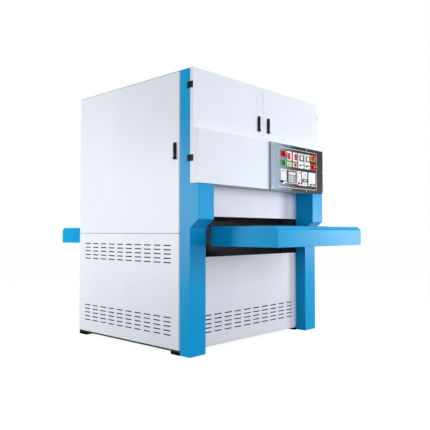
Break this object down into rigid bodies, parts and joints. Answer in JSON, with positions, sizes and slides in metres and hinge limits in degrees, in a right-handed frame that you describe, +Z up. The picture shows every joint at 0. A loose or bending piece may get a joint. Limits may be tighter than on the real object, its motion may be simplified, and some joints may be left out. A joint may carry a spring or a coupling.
{
  "type": "sheet metal deburring machine",
  "caption": "Free-standing wide-belt machine that deburrs sheet metal: a conveyor bed passes sheets under an abrasive belt head and a roller brush.",
  "frame": {"origin": "middle of the machine's footprint on the floor, under the middle of the conveyor bed", "axes": "+X to the right seen from the infeed table, +Y from the infeed table to the outfeed table, +Z up"},
  "size_m": [1.5966, 2.58, 2.08],
  "materials": {
    "white_cover": "fine-textured powder coat, satin",
    "blue_paint": "powder coat, semi-gloss",
    "black_frame": "black enamel, satin",
    "foot_pad": "moulded rubber, matt",
    "grey_paint": "grey enamel, satin",
    "bed_steel": "grey enamel, satin",
    "bare_steel": "ground steel",
    "cabinet_sheet": "grey powder coat",
    "device_plastic": "moulded plastic, matt",
    "motor_paint": "blue-grey enamel, satin",
    "bearing_paint": "painted cast iron",
    "abrasive_cloth": "coated abrasive cloth",
    "belt_rubber": "rubber belt, matt",
    "v_belt": "rubber V-belt",
    "chain_steel": "oiled steel",
    "black_plastic": "glass-filled nylon, matt",
    "roller_rubber": "ground rubber cover",
    "brush_flap": "abrasive flap brush",
    "panel_sheet": "dark anodised, brushed",
    "instrument": "moulded plastic, gloss",
    "red_plastic": "moulded plastic, gloss",
    "green_plastic": "moulded plastic, gloss",
    "lime_plastic": "moulded plastic, gloss",
    "knob_plastic": "moulded plastic, gloss"
  },
  "bodies": {
    "frame": {"base_frame": "black_frame", "feet": "foot_pad", "left_column": "blue_paint", "right_column": "blue_paint", "left_vent_panel": "white_cover", "right_vent_panel": "white_cover", "top_cover": "white_cover", "front_header": "white_cover", "front_vent_panel": "white_cover", "rear_upper_cover": "white_cover", "rear_vent_panel": "white_cover", "side_plates": "grey_paint", "cabinet_shell": "cabinet_sheet", "electrical_gear": "device_plastic", "head_motors": "motor_paint", "head_bearings": "bearing_paint", "abrasive_belt": "abrasive_cloth", "drive_belts": "v_belt", "lift_motor": "motor_paint", "lift_chain": "chain_steel", "fixed_hinge_leaves": "black_plastic", "cable_gland": "black_plastic"},
    "bed": {"bed_frame": "bed_steel", "front_table": "blue_paint", "rear_table": "blue_paint", "conveyor_belt": "belt_rubber", "roller_bearings": "bare_steel", "conveyor_gearmotor": "motor_paint"},
    "drive_roller": {"drive_roller": "bare_steel"},
    "idler_roller": {"idler_roller": "bare_steel"},
    "contact_roller": {"contact_roller": "roller_rubber"},
    "tension_roller": {"tension_roller": "bare_steel"},
    "brush_roller": {"brush_roller": "brush_flap"},
    "front_hold_down": {"front_hold_down": "roller_rubber"},
    "rear_hold_down": {"rear_hold_down": "roller_rubber"},
    "abrasive_motor_pulley": {"abrasive_motor_pulley": "bare_steel"},
    "brush_motor_pulley": {"brush_motor_pulley": "bare_steel"},
    "front_left_screw": {"front_left_screw": "bare_steel"},
    "front_right_screw": {"front_right_screw": "bare_steel"},
    "rear_left_screw": {"rear_left_screw": "bare_steel"},
    "rear_right_screw": {"rear_right_screw": "bare_steel"},
    "left_door": {"left_front_door": "white_cover", "left_door_leaves": "black_plastic"},
    "right_door": {"right_front_door": "white_cover", "right_door_leaves": "black_plastic", "control_plate": "panel_sheet", "panel_instruments": "instrument"},
    "left_side_door": {"left_side_door": "white_cover"},
    "right_side_door": {"right_side_door": "white_cover"},
    "left_front_handle": {"left_front_handle": "black_plastic"},
    "right_front_handle": {"right_front_handle": "black_plastic"},
    "left_side_handle": {"left_side_handle": "black_plastic"},
    "right_side_handle": {"right_side_handle": "black_plastic"},
    "emergency_stop": {"emergency_stop": "red_plastic"},
    "isolator_handle": {"isolator_handle": "red_plastic"},
    "red_selector": {"red_selector": "red_plastic"},
    "green_selector": {"green_selector": "green_plastic"},
    "start_button": {"start_button": "lime_plastic"},
    "stop_button": {"stop_button": "red_plastic"},
    "speed_knob": {"speed_knob": "knob_plastic"}
  },
  "joints": [
    {"name": "bed_lift", "type": "slide", "parent": "frame", "child": "bed", "axis": [0, 0, 1], "range_m": [-0.02, 0.05]},
    {"name": "conveyor_drive", "type": "hinge", "parent": "bed", "child": "drive_roller", "pos_m": [0, 1.0067, 0.8407], "axis": [1, 0, 0], "continuous": true},
    {"name": "conveyor_idler", "type": "hinge", "parent": "bed", "child": "idler_roller", "pos_m": [0, -1.0067, 0.8407], "axis": [1, 0, 0], "continuous": true},
    {"name": "abrasive_head", "type": "hinge", "parent": "frame", "child": "contact_roller", "pos_m": [0, -0.33, 1.06], "axis": [1, 0, 0], "continuous": true},
    {"name": "belt_tension", "type": "hinge", "parent": "frame", "child": "tension_roller", "pos_m": [0, -0.33, 1.71], "axis": [1, 0, 0], "continuous": true},
    {"name": "abrasive_motor", "type": "hinge", "parent": "frame", "child": "abrasive_motor_pulley", "pos_m": [0, 0.06, 1.4695], "axis": [1, 0, 0], "continuous": true},
    {"name": "brush_head", "type": "hinge", "parent": "frame", "child": "brush_roller", "pos_m": [0, 0.12, 1.075], "axis": [1, 0, 0], "continuous": true},
    {"name": "brush_motor", "type": "hinge", "parent": "frame", "child": "brush_motor_pulley", "pos_m": [0, 0.3867, 1.31], "axis": [1, 0, 0], "continuous": true},
    {"name": "front_hold_down_spin", "type": "hinge", "parent": "frame", "child": "front_hold_down", "pos_m": [0, -0.515, 1.005], "axis": [1, 0, 0], "continuous": true},
    {"name": "rear_hold_down_spin", "type": "hinge", "parent": "frame", "child": "rear_hold_down", "pos_m": [0, 0.34, 1.005], "axis": [1, 0, 0], "continuous": true},
    {"name": "front_left_lift_screw", "type": "hinge", "parent": "frame", "child": "front_left_screw", "pos_m": [-0.58, -0.493, 0], "axis": [0, 0, 1], "range_deg": [-1300, 3100]},
    {"name": "rear_left_lift_screw", "type": "hinge", "parent": "frame", "child": "rear_left_screw", "pos_m": [-0.58, 0.507, 0], "axis": [0, 0, 1], "range_deg": [-1300, 3100]},
    {"name": "front_right_lift_screw", "type": "hinge", "parent": "frame", "child": "front_right_screw", "pos_m": [0.58, -0.493, 0], "axis": [0, 0, 1], "range_deg": [-1300, 3100]},
    {"name": "rear_right_lift_screw", "type": "hinge", "parent": "frame", "child": "rear_right_screw", "pos_m": [0.58, 0.507, 0], "axis": [0, 0, 1], "range_deg": [-1300, 3100]},
    {"name": "left_door_hinge", "type": "hinge", "parent": "frame", "child": "left_door", "pos_m": [-0.7853, -0.716, 1.6], "axis": [0, 0, -1], "range_deg": [0, 110]},
    {"name": "right_door_hinge", "type": "hinge", "parent": "frame", "child": "right_door", "pos_m": [0.7853, -0.716, 1.6], "axis": [0, 0, 1], "range_deg": [0, 110]},
    {"name": "left_side_door_hinge", "type": "hinge", "parent": "frame", "child": "left_side_door", "pos_m": [-0.768, 0.618, 1.4], "axis": [0, 0, -1], "range_deg": [0, 100]},
    {"name": "right_side_door_hinge", "type": "hinge", "parent": "frame", "child": "right_side_door", "pos_m": [0.768, 0.618, 1.4], "axis": [0, 0, 1], "range_deg": [0, 100]},
    {"name": "left_front_handle_turn", "type": "hinge", "parent": "left_door", "child": "left_front_handle", "pos_m": [-0.06, -0.744, 1.663], "axis": [0, -1, 0], "range_deg": [0, 90]},
    {"name": "right_front_handle_turn", "type": "hinge", "parent": "right_door", "child": "right_front_handle", "pos_m": [0.06, -0.744, 1.663], "axis": [0, 1, 0], "range_deg": [0, 90]},
    {"name": "left_side_handle_turn", "type": "hinge", "parent": "left_side_door", "child": "left_side_handle", "pos_m": [-0.78, -0.566, 1.39], "axis": [-1, 0, 0], "range_deg": [0, 90]},
    {"name": "right_side_handle_turn", "type": "hinge", "parent": "right_side_door", "child": "right_side_handle", "pos_m": [0.78, -0.566, 1.39], "axis": [-1, 0, 0], "range_deg": [0, 90]},
    {"name": "emergency_stop_press", "type": "slide", "parent": "right_door", "child": "emergency_stop", "axis": [0, 1, 0], "range_m": [0, 0.004]},
    {"name": "isolator_turn", "type": "hinge", "parent": "right_door", "child": "isolator_handle", "pos_m": [0.59151, -0.82, 1.41843], "axis": [0, 1, 0], "range_deg": [0, 90]},
    {"name": "red_selector_turn", "type": "hinge", "parent": "right_door", "child": "red_selector", "pos_m": [0.16404, -0.82, 1.49097], "axis": [0, 1, 0], "range_deg": [-45, 45]},
    {"name": "green_selector_turn", "type": "hinge", "parent": "right_door", "child": "green_selector", "pos_m": [0.16404, -0.82, 1.41843], "axis": [0, 1, 0], "range_deg": [-45, 45]},
    {"name": "start_button_press", "type": "slide", "parent": "right_door", "child": "start_button", "axis": [0, 1, 0], "range_m": [0, 0.003], "stiffness_N_per_m": 800},
    {"name": "stop_button_press", "type": "slide", "parent": "right_door", "child": "stop_button", "axis": [0, 1, 0], "range_m": [0, 0.003], "stiffness_N_per_m": 800},
    {"name": "speed_knob_turn", "type": "hinge", "parent": "right_door", "child": "speed_knob", "pos_m": [0.13087, -0.82, 1.26371], "axis": [0, 1, 0], "range_deg": [-135, 135]}
  ],
  "couplings": [
    {"joint": "conveyor_idler", "follows": "conveyor_drive", "ratio": 1},
    {"joint": "belt_tension", "follows": "abrasive_head", "ratio": 1.2857},
    {"joint": "abrasive_motor", "follows": "abrasive_head", "ratio": 0.72528},
    {"joint": "brush_motor", "follows": "brush_head", "ratio": 0.91349},
    {"joint": "front_left_lift_screw", "follows": "bed_lift", "rad_per_m": 1047.2},
    {"joint": "front_right_lift_screw", "follows": "bed_lift", "rad_per_m": 1047.2},
    {"joint": "rear_left_lift_screw", "follows": "bed_lift", "rad_per_m": 1047.2},
    {"joint": "rear_right_lift_screw", "follows": "bed_lift", "rad_per_m": 1047.2}
  ]
}
